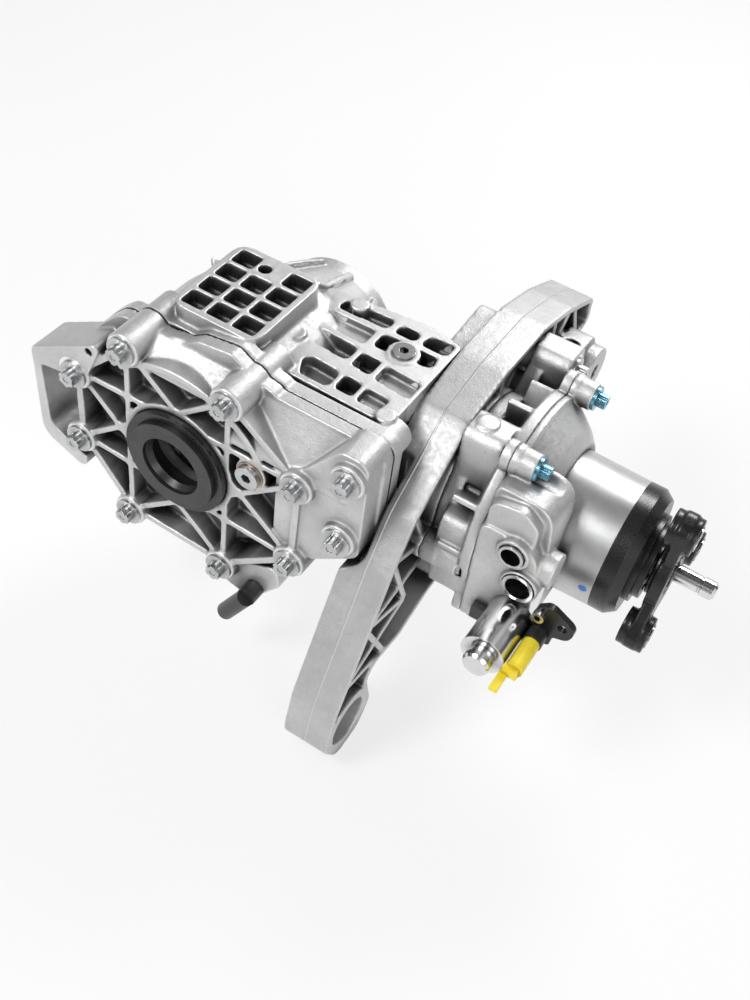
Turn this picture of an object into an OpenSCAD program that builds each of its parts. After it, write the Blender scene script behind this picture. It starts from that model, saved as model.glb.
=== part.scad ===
// Rear drive unit: bevel gear set, differential and multi-plate clutch in aluminium housings.
// X runs forward along the pinion, Y runs to the right along the axle, Z is up.
// The origin is where the pinion line crosses the axle line.

/* [Gear set] */
// Number of teeth on the ring gear
ring_teeth = 37; // [35:1:39]
// Number of teeth on the pinion
pinion_teeth = 13; // [12:1:14]
// Pitch diameter of the ring gear at its outer end
ring_d = 150; // [146:1:151]
// Length of the ring gear and pinion teeth
gear_face = 25; // [21:1:26]
// Spiral angle of the ring gear teeth at their middle
spiral = 28; // [0:1:32]
// Play between the ring gear and pinion teeth
backlash = 0.5; // [0.4:0.05:0.7]
// Diameter of the pinion shaft in its rear bearing
pinion_d = 35; // [32:1:36]
// Diameter of the pinion shaft in its front bearing
pinion_tail_d = 30; // [28:1:31]

/* [Differential] */
// Number of teeth on each side gear
side_teeth = 14; // [14:2:16]
// Number of teeth on each spider gear
spider_teeth = 10; // [10:2:10]
// Pitch diameter of the side gears at their outer end
side_d = 54; // [52:1:55]
// Diameter of the cross pin that carries the spider gears
cross_pin_d = 16; // [13:1:17]
// Outside diameter of the case trunnions
trunnion_d = 50; // [47:1:51]
// Bore of the side gears, for the splined ends of the drive shafts
axle_d = 27; // [24:1:29]
// Outside diameter of the two side bearings
side_bearing_d = 80; // [78:1:82]
// Width of the two side bearings
side_bearing_w = 20; // [18:1:21]

/* [Side cover] */
// Distance from the pinion line to the face of the cover gasket
gasket_y = 90; // [89:1:92]
// Thickness of the cover gasket
gasket_t = 1; // [0.6:0.1:1.5]
// Distance from the gasket face to the seats of the cover bolts
cover_depth = 34; // [31:1:36]
// Thickness of the cover's floor
cover_floor = 8; // [6:0.5:10]
// Thickness of the ribs on the castings
rib_t = 4.5; // [3:0.5:6]
// Outside diameter of the bosses for the cover bolts
boss_d = 26; // [24:1:28]
// Diameter of the cover bolts
cover_bolt_d = 10; // [8:1:11]
// Outside diameter of the output seals
seal_d = 72; // [69:1:73]
// Bore of the output seals
seal_bore = 48; // [45:1:50]

/* [Main housing] */
// Thickness of the housing walls
wall = 7; // [5:0.5:8]
// Height of the ribbed deck above the axle
deck_z = 80; // [77:1:82]
// Height of the mounting pad above the axle
pad_z = 100; // [98:1:104]
// Length of the mounting pad along the pinion
pad_l = 70; // [66:1:72]
// Width of the mounting pad along the axle
pad_w = 82; // [78:1:83]
// Distance from the pinion line to the right end of the housing
right_y = 86; // [84:1:90]
// Thread diameter of the hole in the mounting pad
pad_hole_d = 10; // [8:1:12]

/* [Mounting bracket] */
// Distance from the axle to the rear face of the bracket
bracket_x = 137; // [135:1:139]
// Thickness of the bracket
bracket_t = 37; // [34:1:38]
// Thickness of the bracket's outer band
bracket_rim = 4.5; // [3.5:0.5:6]
// Bore of the eye at the lower end of the bracket
eye_d = 40; // [34:1:42]
// Diameter of the upright hole in the upper end of the bracket
lug_hole_d = 12; // [10:1:14]

/* [Clutch] */
// Outside diameter of the clutch pot
pot_d = 96; // [95:0.5:97]
// Wall of the clutch pot
pot_wall = 3; // [2.5:0.25:3.5]
// Distance from the axle to the front end of the clutch pot
pot_end_x = 289; // [287:1:291]
// Number of steel plates, and of lined plates, in the clutch
plate_pairs = 6; // [4:1:6]
// Thickness of each clutch plate
plate_t = 2; // [1.6:0.1:2]
// Width of the black bearing carrier in front of the pot
carrier_w = 18; // [16:1:19]
// Radius on which the coupling bushes of the input flange sit
arm_r = 47; // [45:1:50]
// Bore of the coupling bushes
bush_bore = 10; // [8:1:11]
// Diameter of the centring pin
pin_d = 13; // [11:1:14]
// Distance from the axle to the end of the centring pin
pin_end_x = 360; // [356:1:364]

/* [Valve] */
// Outside diameter of the pressure valve's coil
coil_d = 32; // [29:1:33]
// Length of the pressure valve's coil
coil_l = 42; // [38:1:46]
// Bore of the upper port
port_bore = 14; // [12:1:15]
// Bore of the lower port
big_port_bore = 18; // [15:1:18]

/* [Hidden] */
$fn = 48;
slack = 0.1;
shaft_fit = 0.05;

// Colours, as the finished surfaces show them
cast_colour = [0.72, 0.72, 0.71];
machined_colour = [0.62, 0.63, 0.64];
steel_colour = [0.50, 0.51, 0.53];
zinc_colour = [0.80, 0.82, 0.82];
black_colour = [0.08, 0.08, 0.09];

// Bolts and their seats
bolt_head_h = 9;
cover_flange_d = 22;
joint_flange_d = 21;
clutch_flange_d = 18;
cover_thread_l = 15;
cover_seat_y = -gasket_y - cover_depth;
rib_front_y = cover_seat_y + 3;
floor_y = -gasket_y - 16;
flange_t = 10;
// Bolts round the hub of the side cover: [radius, angle]
hub_bolts = [[106, 21], [90, 62], [90, 118], [94, 159], [94, 199], [95, 241], [95, 294], [105, 338]];
// Bolts at the front end of the side cover: [x, z]
nose_bolts = [[136, 68], [134, 10]];
hub_bolt_xz = [for (b = hub_bolts) b[0] * [cos(b[1]), sin(b[1])]];
cover_bolt_xz = concat(hub_bolt_xz, nose_bolts);
hub_r = seal_d / 2 + 6;
filler_place = [62, 26];
filler_d = 14;
breather_place = [66, -100];
drum_r = ring_d / 2 + 15;
arch_r = drum_r - 10;
cavity_r = drum_r - wall - 3;
rim_top_z = cavity_r + wall + 1;

// Pad, deck and neck of the main housing
pad_y = -gasket_y + 7;
pad_x = -pad_l / 2;
pad_hole_place = [-5, pad_y + pad_w - 14];
neck_left_y = -gasket_y + gasket_t;
neck_right_y = 42;
neck_low_z = -48;
deck_low_z = deck_z - 14;
deck_plug_place = [107, -9];
deck_plug_d = 12;

// Bevel gear cones, measured from each gear's own axis
pinion_cone = atan(pinion_teeth / ring_teeth);
ring_cone = 90 - pinion_cone;
ring_module = ring_d / ring_teeth;
ring_reach = ring_d / 2 / sin(ring_cone);
side_cone = atan(side_teeth / spider_teeth);
spider_cone = 90 - side_cone;
side_module = side_d / side_teeth;
side_reach = side_d / 2 / sin(side_cone);
side_face = 11;
ring_back_y = -46;
ring_bore = ring_d - 50;
case_flange_y = ring_back_y - 10;
ring_bolt_count = 10;
ring_bolt_r = ring_d / 2 - 13;
ring_bolt_d = 10;
case_r = ring_bore / 2 - 3;
case_flange_r = ring_bolt_r + 10;
spider_back = 32;
side_back = 31;
side_pocket_d = side_d + 9;
spider_pocket_d = 46;
gear_rest = 0.3;
side_hub_d = axle_d + 9;
side_hub_end = side_back + 24;
spider_bore = cross_pin_d + 0.1;
ring_middle = ring_reach - gear_face / 2;
// Turn of the ring gear's teeth about the axle for each mm of cone distance
ring_turn = tan(spiral) / (ring_middle * sin(ring_cone)) * 180 / PI;

// Side bearings and output seals
left_bearing_y = -gasket_y + 14;
right_bearing_y = right_y - 36;
seal_w = 12;
shoulder = 7;
carrier_foot_y = floor_y - 3;
carrier_proud = 2;
seal_proud = 4;

// Pinion bearings along the pinion
rear_bearing = [82, 22, pinion_d, 72];
front_bearing = [130, 20, pinion_tail_d, 62];
neck_end_x = bracket_x + 13;

// Joint between the main housing, the bracket and the clutch housing: bolt places [y, z]
joint_bolt_yz = [[-29, 61], [72, 61], [78, -14], [36, -70], [-32, -72], [-66, -16]];
joint_bolt_d = 10;
joint_bolt_l = 78;
joint_ear_d = 26;
bracket_end_x = bracket_x + bracket_t;
pilot_r = 50;
bracket_floor_x = bracket_x + 10;
eye_place = [-148, -144];
upper_boss_place = [128, 20];
lug_hole_place = [bracket_end_x + 10, 114];
rear_flange_end_x = bracket_end_x + 12;
joint_seat_x = bracket_end_x + 29;
lobe_pad_place = [bracket_end_x + 11, -29];

// Clutch housings
split_x = 212;
dome_end_x = 241;
housing_r = 78;
clutch_bolt_r = 83;
clutch_bolt_angles = [54, 120, 218, 270, 330];
clutch_bolt_d = 8;
clutch_ear_d = 22;
clutch_bolt_yz = [for (a = clutch_bolt_angles) clutch_bolt_r * [cos(a), sin(a)]];
clutch_seat_x = 229;
pot_start_x = 226;
clutch_cavity_r = pot_d / 2 - pot_wall;
// Face of the valve block, level with the housing's edge and clear of the ear beside it
valve_face_y = -max(housing_r - 1, clutch_ear_d / 2 + 0.3 - clutch_bolt_yz[2][0]);
upper_port = [split_x + 27, 30];
lower_port = [split_x + 37, 4];
upper_sleeve_d = port_bore + 4;
lower_sleeve_d = big_port_bore + 5;
coil_place = [split_x + 37, -28];
coil_end_y = valve_face_y - coil_l;
coil_stem_d = 18;
clamp_t = 5;
clamp_screw_d = 5;
clamp_screw_place = [split_x + 57, -7];
clamp_lug_place = [split_x + 74, -11];
connector_place = [split_x + 60, -26];
connector_end_y = valve_face_y - 16;
cap_end_y = valve_face_y - 42;

// Clutch pack and input shaft
drum_outer_r = clutch_cavity_r - 1.5;
drum_inner_r = drum_outer_r - 3;
drum_wall_x = 274;
hub_outer_r = 26;
pack_start_x = 217;
plate_gap = 0.2;
plate_pitch = plate_t + plate_gap;
pack_end_x = pack_start_x + 2 * plate_pairs * plate_pitch;
tab_count = 8;
shaft_r = 14;
piston_outer_d = 86;
piston_inner_d = 56;
pinion_seal_d = 40;
pinion_seal_x = bracket_end_x + 10;
pinion_end_x = 266;
spline_r = 12;
bearing_bore_r = 31;
input_bearing_w = 16;
carrier_end_x = pot_end_x + carrier_w;
flange_x = carrier_end_x + 15;
flange_t_x = 8;
arm_angles = [100, 220, 340];
bush_d = 18;
input_seal_r = 22;

// Draws a shape of (x, z) between two places along the axle
module along_y(y0, y1) {
    translate([0, y1, 0]) rotate([90, 0, 0]) linear_extrude(y1 - y0) children();
}

// Draws a shape of (y, z) between two places along the pinion
module along_x(x0, x1) {
    translate([x0, 0, 0]) rotate([90, 0, 90]) linear_extrude(x1 - x0) children();
}

// Turns a shape of (radius, y) about the axle
module about_y() {
    rotate([-90, 0, 0]) rotate_extrude($fn = 96) children();
}

// Turns a shape of (radius, x) about the pinion line
module about_x() {
    rotate([90, 0, 90]) rotate_extrude($fn = 96) children();
}

// Round bar along the axle at (x, z)
module bar_y(at, d, y0, y1) {
    translate([at[0], y0, at[1]]) rotate([-90, 0, 0]) cylinder(d = d, h = y1 - y0);
}

// Round bar along the pinion at (y, z)
module bar_x(at, d, x0, x1) {
    translate([x0, at[0], at[1]]) rotate([0, 90, 0]) cylinder(d = d, h = x1 - x0);
}

// Upright round bar at (x, y)
module bar_z(at, d, z0, z1) {
    translate([at[0], at[1], z0]) cylinder(d = d, h = z1 - z0);
}

module ring_y(outer, inner, y0, y1) {
    difference() {
        bar_y([0, 0], outer, y0, y1);
        bar_y([0, 0], inner, y0 - 1, y1 + 1);
    }
}

module ring_x(outer, inner, x0, x1) {
    difference() {
        bar_x([0, 0], outer, x0, x1);
        bar_x([0, 0], inner, x0 - 1, x1 + 1);
    }
}

// Angle of the arc that rounds corner b of the path a, b, c
function turn(a, b, c) =
    let (u = (a - b) / norm(a - b), v = (c - b) / norm(c - b))
    acos(max(-1, min(1, u * v)));

// Points of the arc of radius r that rounds corner b
function corner(a, b, c, r) =
    let (
        u = (a - b) / norm(a - b),
        v = (c - b) / norm(c - b),
        half = turn(a, b, c) / 2,
        run = r / tan(half),
        middle = b + (u + v) / norm(u + v) * r / sin(half),
        start = b + u * run - middle,
        finish = b + v * run - middle,
        a0 = atan2(start[1], start[0]),
        swing = atan2(finish[1], finish[0]) - a0,
        sweep = swing > 180 ? swing - 360 : swing < -180 ? swing + 360 : swing,
        steps = max(2, ceil(abs(sweep) / 15))
    )
    [for (i = [0:steps]) middle + r * [cos(a0 + sweep * i / steps), sin(a0 + sweep * i / steps)]];

// Outline through points [a, b, radius] with each corner rounded
function rounded(points) =
    let (n = len(points), flat = [for (p = points) [p[0], p[1]]])
    [for (i = [0:n - 1]) each corner(flat[(i + n - 1) % n], flat[i], flat[(i + 1) % n], points[i][2])];

module rounded_shape(points) {
    polygon(rounded(points));
}

// Point where the line a-b crosses the line c-d
function crossing(a, b, c, d) =
    let (u = b - a, v = d - c, w = c - a)
    a + u * (w[0] * v[1] - w[1] * v[0]) / (u[0] * v[1] - u[1] * v[0]);

// Rounded outline with every side moved inwards by d; its points run counterclockwise
function inset(points, d) =
    let (n = len(points))
    [for (i = [0:n - 1])
        let (a = points[(i + n - 1) % n], b = points[i], c = points[(i + 1) % n],
            u = [b[0] - a[0], b[1] - a[1]] / norm([b[0] - a[0], b[1] - a[1]]),
            v = [c[0] - b[0], c[1] - b[1]] / norm([c[0] - b[0], c[1] - b[1]]),
            m = [-u[1] - v[1], u[0] + v[0]] / (1 + u * v))
        [b[0] + d * m[0], b[1] + d * m[1], max(1.5, b[2] + (cross(u, v) > 0 ? -d : d))]];

// Straight rib between two points of a drawing
module rib_line(a, b, t) {
    translate(a) rotate(atan2(b[1] - a[1], b[0] - a[0])) translate([0, -t / 2]) square([norm(b - a), t]);
}

// Azimuth of a spherical involute at polar angle g, from the base cone of half angle base
function involute_azimuth(g, base) =
    g <= base ? 0 :
    let (t = acos(min(1, cos(g) / cos(base))) / sin(base))
    t - atan(tan(t * sin(base)) / sin(base));

// Half of the tooth's azimuth at polar angle g
function tooth_half(g, cone, base, half) =
    half - involute_azimuth(g, base) + involute_azimuth(cone, base);

// One bevel tooth centred on azimuth 0, cut from a cone with its tip at the origin
// half: half of the tooth's azimuth on the pitch cone
// turn_per_mm: twist about the axis for each mm of cone distance
module bevel_tooth(cone, half, tip, root, inner, outer, turn_per_mm, slices) {
    base = asin(sin(cone) * cos(22.5));
    levels = 4;
    angles = [for (i = [0:levels]) root + (tip - root) * i / levels];
    side = [for (g = angles) [g, tooth_half(g, cone, base, half)]];
    profile = concat(side, [for (i = [levels:-1:0]) [side[i][0], -side[i][1]]]);
    n = len(profile);
    middle = (inner + outer) / 2;
    radii = [for (k = [0:slices]) inner + (outer - inner) * k / slices];
    points = [for (r = radii, p = profile)
        let (a = p[1] + (r - middle) * turn_per_mm)
        r * [sin(p[0]) * cos(a), sin(p[0]) * sin(a), cos(p[0])]];
    walls = [for (k = [0:slices - 1], i = [0:n - 1])
        let (j = (i + 1) % n)
        each [[k * n + i, k * n + j, (k + 1) * n + j], [k * n + i, (k + 1) * n + j, (k + 1) * n + i]]];
    last = slices * n;
    inner_cap = [for (i = [0:levels - 1])
        each [[i, n - 1 - i, i + 1], [i + 1, n - 1 - i, n - 2 - i]]];
    outer_cap = [for (f = inner_cap) [last + f[0], last + f[2], last + f[1]]];
    polyhedron(points, concat(walls, inner_cap, outer_cap));
}

module bevel_teeth(count, first, cone, half, tip, root, inner, outer, turn_per_mm, slices) {
    for (i = [0:count - 1])
        rotate(first + i * 360 / count)
            bevel_tooth(cone, half, tip, root, inner, outer, turn_per_mm, slices);
}

// Play taken off each side of a tooth, as an azimuth
function play_angle(reach, cone) = backlash / 4 / (reach * sin(cone)) * 180 / PI;

// Torx flange bolt along +Y, with its seat at y = 0 and its head in front
module flange_bolt(d, flange_d, length) {
    head_d = flange_d * 0.58;
    difference() {
        union() {
            rotate([-90, 0, 0]) cylinder(d = d, h = length);
            rotate([90, 0, 0]) cylinder(d = flange_d, h = bolt_head_h * 0.25);
            rotate([90, 0, 0]) cylinder(d = head_d, h = bolt_head_h);
        }
        translate([0, 0.5 - bolt_head_h, 0])
            rotate([90, 0, 0]) cylinder(d = head_d * 0.4, h = bolt_head_h * 0.3);
        for (i = [0:5])
            rotate([0, i * 60, 0]) translate([head_d * 0.6, -bolt_head_h * 0.3, 0])
                rotate([90, 0, 0]) cylinder(d = head_d * 0.36, h = bolt_head_h);
    }
}

// Top edge of the gasket face: [x, z, radius]
top_edge = [[-120, 60, 5], [-60, rim_top_z - 4, 8], [-33, rim_top_z - 7, 8], [-12, rim_top_z - 2, 8],
    [2, rim_top_z + 7, 10], [29, rim_top_z + 11, 8], [47, rim_top_z, 8], [77, rim_top_z - 7, 10]];

// Outline of the gasket face: a round body, bolt bosses and the nose over the pinion
module gasket_outline(inset = 0) {
    nose_x = nose_bolts[0][0] + 14 - inset;
    nose_z = rim_top_z - 6 - inset;
    intersection() {
        circle(r = drum_r + 15 - inset, $fn = 96);
        translate([0, -inset]) rounded_shape(concat(top_edge, [[130, 60, 5], [130, -130, 5], [-130, -130, 5],
            [-130, 40, 5]]));
    }
    for (p = hub_bolt_xz) translate(p) circle(d = boss_d - 2 * inset);
    rounded_shape([[20, nose_z, 2], [nose_x, nose_z, 12],
        [nose_x, nose_bolts[1][1] - 16 + inset, 14], [112, -34 + inset, 20], [70, -60, 5]]);
}

// Inside of the drum, at the gasket face
module cavity_outline() {
    circle(r = cavity_r, $fn = 96);
}

// Bolt bosses behind or in front of the gasket face
module boss_columns(y0, y1) {
    for (p = cover_bolt_xz) bar_y(p, boss_d, y0, y1);
}

module cover_web() {
    places = cover_bolt_xz;
    for (i = [0:7]) rib_line(places[i], places[(i + 3) % 8], rib_t);
    for (i = [0, 2, 3, 4, 5, 6, 7]) rib_line(places[i], places[(i + 1) % 8], rib_t + 1);
    // Round node where two ribs cross
    for (i = [0:7])
        translate(crossing(places[i], places[(i + 3) % 8], places[(i + 1) % 8], places[(i + 6) % 8]))
        circle(d = 2 * rib_t);
    // Arched rim over the top of the web
    difference() {
        circle(r = arch_r, $fn = 96);
        circle(r = arch_r - rib_t - 1, $fn = 96);
        rotate(130) translate([-200, 0]) square([400, 200]);
        rotate(210) translate([-200, 0]) square([400, 200]);
    }
}

// Frame behind the axle, with its window
module rear_frame() {
    outer = [[-60, 74, 4], [-128, 37, 6], [-127, -47, 16], [-86, -64, 6], [-84, 20, 6]];
    window = [[-82, 30, 3], [-120.5, 24, 4], [-118, -34, 8], [-82, -52, 4]];
    along_y(cover_seat_y, -gasket_y) difference() {
        rounded_shape(outer);
        rounded_shape(window);
    }
}

// Smooth face between the hub and the nose bolts
module nose_face() {
    along_y(cover_seat_y + 6, -gasket_y) rounded_shape([[80, 46, 6], [100, 52, 12], [126, rim_top_z - 3, 8],
        [nose_bolts[0][0] + 12, rim_top_z - 3, 10], [nose_bolts[0][0] + 12, nose_bolts[1][1] - 14, 12],
        [111, -32, 20], [80, -34, 10]]);
}

// Panel that slopes from the web back to the gasket face, between two places along the pinion
module slope(x0, x1, low_z, high_z) {
    along_x(x0, x1) polygon([[rib_front_y + 2, low_z], [rib_front_y + 2, low_z + 5],
        [-gasket_y - flange_t, high_z], [-gasket_y, high_z], [-gasket_y, low_z]]);
}

module side_cover() {
    web_y = rib_front_y;
    color(cast_colour) difference() {
        union() {
            along_y(-gasket_y - flange_t, -gasket_y) gasket_outline();
            about_y() polygon([[30, floor_y], [cavity_r + wall - 6, floor_y],
                [cavity_r + wall + 2, -gasket_y - 8],
                [cavity_r + wall + 2, -gasket_y], [30, -gasket_y]]);
            along_y(web_y, -gasket_y - 4) intersection() {
                gasket_outline();
                cover_web();
            }
            boss_columns(cover_seat_y, -gasket_y);
            nose_face();
            rear_frame();
            bar_y([0, 0], 2 * hub_r + 2 * rib_t, web_y, -gasket_y);
            bar_y(filler_place, filler_d + 10, web_y - 1, -gasket_y);
            // Sloping panels between the arch and the gasket face
            slope(-44, 44, arch_r - 12, rim_top_z - 2);
            slope(40, nose_bolts[0][0], nose_bolts[0][1] - 26, rim_top_z - 8);
            // Drain boss under the hub
            along_y(cover_seat_y + 8, -gasket_y) rounded_shape([[30, -90, 4], [84, -66, 8], [88, -84, 10],
                [62, -118, 10], [36, -112, 10]]);
        }
        // Hollow behind the floor
        along_y(floor_y + cover_floor, -gasket_y + 1) cavity_outline();
        // Side bearing, its shoulder, and the seal carrier
        bar_y([0, 0], side_bearing_d, left_bearing_y - side_bearing_w, -gasket_y + 1);
        bar_y([0, 0], side_bearing_d - 2 * shoulder, carrier_foot_y, 0);
        bar_y([0, 0], 2 * hub_r, cover_seat_y - 1, carrier_foot_y);
        for (p = cover_bolt_xz) bar_y(p, cover_bolt_d + 2 * slack, cover_seat_y - 20, 0);
        bar_y(filler_place, filler_d, web_y - 5, floor_y + 4);
        // Round hole in the top of the frame
        bar_y([-73, 61], 6, cover_seat_y - 1, -gasket_y - 20);
    }
}

module cover_gasket() {
    back_y = -gasket_y + gasket_t;
    color(black_colour) difference() {
        along_y(-gasket_y, back_y) gasket_outline();
        along_y(-gasket_y - 1, back_y + 1) cavity_outline();
        for (p = cover_bolt_xz) bar_y(p, cover_bolt_d + 1, -gasket_y - 1, back_y + 1);
    }
}

module cover_bolts() {
    color(zinc_colour) for (p = cover_bolt_xz)
        translate([p[0], cover_seat_y, p[1]]) flange_bolt(cover_bolt_d, cover_flange_d,
            cover_depth + gasket_t + cover_thread_l);
}

module pad() {
    translate([pad_x, pad_y, cavity_r - 10]) linear_extrude(pad_z - cavity_r + 10)
        rounded_shape([[0, 0, 12], [pad_l, 0, 12], [pad_l, pad_w, 10], [0, pad_w, 10]]);
}

module pad_pockets() {
    cols = 3;
    rows = 4;
    rib = 3.4;
    edge = 5;
    cell_x = (pad_l - 2 * edge + rib) / cols;
    cell_y = (pad_w - 2 * edge + rib) / rows;
    for (i = [0:cols - 1], j = [0:rows - 1])
        if (!(i == 1 && j == rows - 1))
            translate([pad_x + edge + i * cell_x, pad_y + edge + j * cell_y, pad_z - 12])
                linear_extrude(20) rounded_shape([[0, 0, 2], [cell_x - rib, 0, 2],
                    [cell_x - rib, cell_y - rib, 2], [0, cell_y - rib, 2]]);
}

// Pockets in the deck: [depth, corners as [x, y, radius]]
deck_pockets = [
    [12, [[38, -36, 5], [32, -21, 5], [80, -23, 5], [80, -39, 5]]],
    [10, [[62, -69, 5], [52, -49, 6], [83, -51, 5], [84, -69, 5]]],
    [18, [[84, -40, 3], [84, -25, 3], [100, -25, 3], [100, -42, 3]]],
    [18, [[88, -66, 3], [87, -51, 3], [101, -52, 3], [102, -67, 3]]],
    [7, [[104, -43, 4], [104, -26, 4], [133, -28, 4], [133, -46, 4]]],
    [6, [[106, -68, 3], [105, -53, 3], [124, -54, 3], [122, -68, 3]]],
    [18, [[89, 6, 4], [92, 17, 5], [107, 17, 5], [106, 6, 4]]],
    [14, [[86, -15, 4], [85, 1, 5], [100, 2, 4], [100, -15, 4]]],
    [18, [[110, -14, 4], [110, 2, 4], [128, 2, 4], [130, -10, 5]]],
    [18, [[111, 6, 4], [113, 19, 5], [132, 21, 4], [132, 7, 4]]],
    [8, [[44, 4, 4], [46, 15, 4], [85, 18, 4], [84, 6, 4]]],
    [6, [[40, -16, 4], [42, -1, 4], [80, 0, 4], [80, -18, 4]]]];
deck_bosses = [[39, -39], [57, 14], [130, -70]];

module neck() {
    along_x(30, bracket_x - 14) rounded_shape([[neck_left_y, neck_low_z + 18, 16],
        [neck_left_y, deck_low_z, 3],
        [neck_right_y - 12, deck_low_z, 16], [neck_right_y + 8, 20, 20], [neck_right_y, neck_low_z, 22],
        [-20, neck_low_z - 6, 20]]);
}

module deck() {
    x0 = 28;
    x1 = bracket_x - 1;
    difference() {
        translate([0, 0, deck_low_z - 20]) linear_extrude(deck_z - deck_low_z + 20)
            rounded_shape([[x0, -73, 3], [x1, -75, 3], [x1, 22, 3], [110, 28, 8], [x0, 20, 3]]);
        for (pocket = deck_pockets)
            translate([0, 0, deck_z - pocket[0]]) linear_extrude(40) rounded_shape(pocket[1]);
    }
    for (place = deck_bosses) bar_z(place, 14, deck_low_z - 10, deck_z + 3);
    bar_z(deck_plug_place, 2 * deck_plug_d, deck_low_z - 10, deck_z + 1);
}

module joint_outline() {
    for (p = joint_bolt_yz) translate(p) circle(d = joint_ear_d - 2);
    rounded_shape([[-40, 74, 14], [20, 70, 30], [86, 77, 14], [92, -8, 20], [50, -84, 16], [-38, -86, 14],
        [-80, -22, 16]]);
}

// Rib down the right side of the drum
module right_rib() {
    translate([0, 0, -rib_t / 2]) linear_extrude(rib_t) polygon([[45, right_y - 10], [53, right_y - 10],
        [64, right_y - 32], [drum_r - 16, 30], [drum_r + 5, 6], [drum_r - 4, 0], [45, 0]]);
}

module main_housing() {
    face_y = -gasket_y + gasket_t;
    color(cast_colour) difference() {
        union() {
            along_y(face_y, face_y + flange_t) gasket_outline();
            intersection() {
                union() {
                    about_y() polygon([[0, face_y], [drum_r + 2, face_y], [drum_r + 2, -20], [drum_r - 2, 6],
                        [drum_r - 22, 30], [58, right_y - 32], [49, right_y - 12],
                        [49, right_y], [0, right_y]]);
                    for (i = [0:11]) rotate([0, i * 30 + 15, 0]) right_rib();
                }
                translate([-200, -200, -200]) cube([400, 400, 200 + rim_top_z]);
            }
            boss_columns(face_y, face_y + 24);
            neck();
            deck();
            pad();
            along_x(bracket_x - 16, bracket_x) joint_outline();
            bar_x([0, 0], 2 * pilot_r, bracket_x - 16, neck_end_x);
        }
        pad_pockets();
        bar_z(pad_hole_place, pad_hole_d, pad_z - 14, pad_z + 10);
        // Hollow for the gears
        about_y() polygon([[0, face_y - 1], [cavity_r, face_y - 1], [cavity_r, -14], [cavity_r - 16, 6],
            [54, 22], [54, right_bearing_y - 6], [0, right_bearing_y - 6]]);
        bar_y([0, 0], side_bearing_d, right_bearing_y - 7, right_bearing_y + side_bearing_w);
        bar_y([0, 0], side_bearing_d - 2 * shoulder, 0, right_bearing_y + side_bearing_w + 2);
        bar_y([0, 0], seal_d - 8, right_bearing_y, right_y);
        bar_y([0, 0], seal_d, right_y - seal_w, right_y + 1);
        // Bores for the pinion and its bearings
        bar_x([0, 0], rear_bearing[3], 40, rear_bearing[0] + rear_bearing[1]);
        bar_x([0, 0], front_bearing[3] - 6, 60, front_bearing[0] + 1);
        bar_x([0, 0], front_bearing[3], front_bearing[0], neck_end_x + 1);
        for (p = cover_bolt_xz) bar_y(p, cover_bolt_d + 2 * slack, face_y - 1, face_y + cover_thread_l + 3);
        for (p = joint_bolt_yz)
            bar_x(p, joint_bolt_d + 2 * slack, joint_seat_x - joint_bolt_l - 1, bracket_x + 1);
        bar_z(deck_plug_place, deck_plug_d, deck_z - 10, deck_z + 3);
    }
}

module deck_plug() {
    color(steel_colour) difference() {
        union() {
            bar_z(deck_plug_place, deck_plug_d - 2 * slack, deck_z - 9, deck_z + 1);
            bar_z(deck_plug_place, deck_plug_d + 4, deck_z + 1, deck_z + 3);
        }
        translate(concat(deck_plug_place, [deck_z - 3])) cylinder(d = 7, h = 10, $fn = 6);
    }
}

module filler_plug() {
    at = filler_place;
    color(zinc_colour) difference() {
        union() {
            bar_y(at, filler_d - 2 * slack, rib_front_y - 1, floor_y + 3);
            bar_y(at, filler_d + 4, rib_front_y - 6, rib_front_y - 2);
            bar_y(at, filler_d - 2 * slack, rib_front_y - 2, rib_front_y - 1);
        }
        translate([at[0], rib_front_y - 7, at[1]]) rotate([-90, 0, 0]) cylinder(d = 8, h = 8, $fn = 6);
    }
}

module filler_washer() {
    at = filler_place;
    color([0.55, 0.40, 0.24]) difference() {
        bar_y(at, filler_d + 7, rib_front_y - 2, rib_front_y - 1);
        bar_y(at, filler_d, rib_front_y - 3, rib_front_y);
    }
}

module breather() {
    at = breather_place;
    color(black_colour) {
        bar_y(at, 15, cover_seat_y - 4, cover_seat_y + 8);
        translate([at[0], cover_seat_y - 4, at[1]]) rotate([0, 210, 0]) cylinder(d = 14, h = 36);
    }
}

module seal_carrier_ring() {
    difference() {
        cylinder(r = hub_r - slack, h = carrier_foot_y - cover_seat_y + carrier_proud);
        translate([0, 0, -1]) cylinder(d = seal_d - 2 * shoulder, h = 60);
        translate([0, 0, -1]) cylinder(d = seal_d, h = seal_w - seal_proud + 1);
    }
}

module left_seal_carrier() {
    color([0.24, 0.24, 0.25]) translate([0, cover_seat_y - carrier_proud, 0]) rotate([-90, 0, 0])
        seal_carrier_ring();
}

// Output seal along z: its flat face at z = 0 and its lip inside
module output_seal() {
    difference() {
        cylinder(d = seal_d - 2 * slack, h = seal_w);
        translate([0, 0, -1]) cylinder(d = seal_bore, h = seal_w + 2);
        translate([0, 0, 3]) cylinder(d = seal_d - 12, h = seal_w);
    }
    difference() {
        translate([0, 0, 2]) cylinder(d1 = seal_bore + 6, d2 = seal_bore - 3, h = 6);
        translate([0, 0, 1]) cylinder(d1 = seal_bore + 3, d2 = seal_bore - 6, h = 8);
    }
}

module left_output_seal() {
    color([0.30, 0.30, 0.31]) translate([0, cover_seat_y - carrier_proud - seal_proud, 0])
        rotate([-90, 0, 0]) output_seal();
}

module right_output_seal() {
    color([0.30, 0.30, 0.31]) translate([0, right_y, 0]) rotate([90, 0, 0]) output_seal();
}

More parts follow.
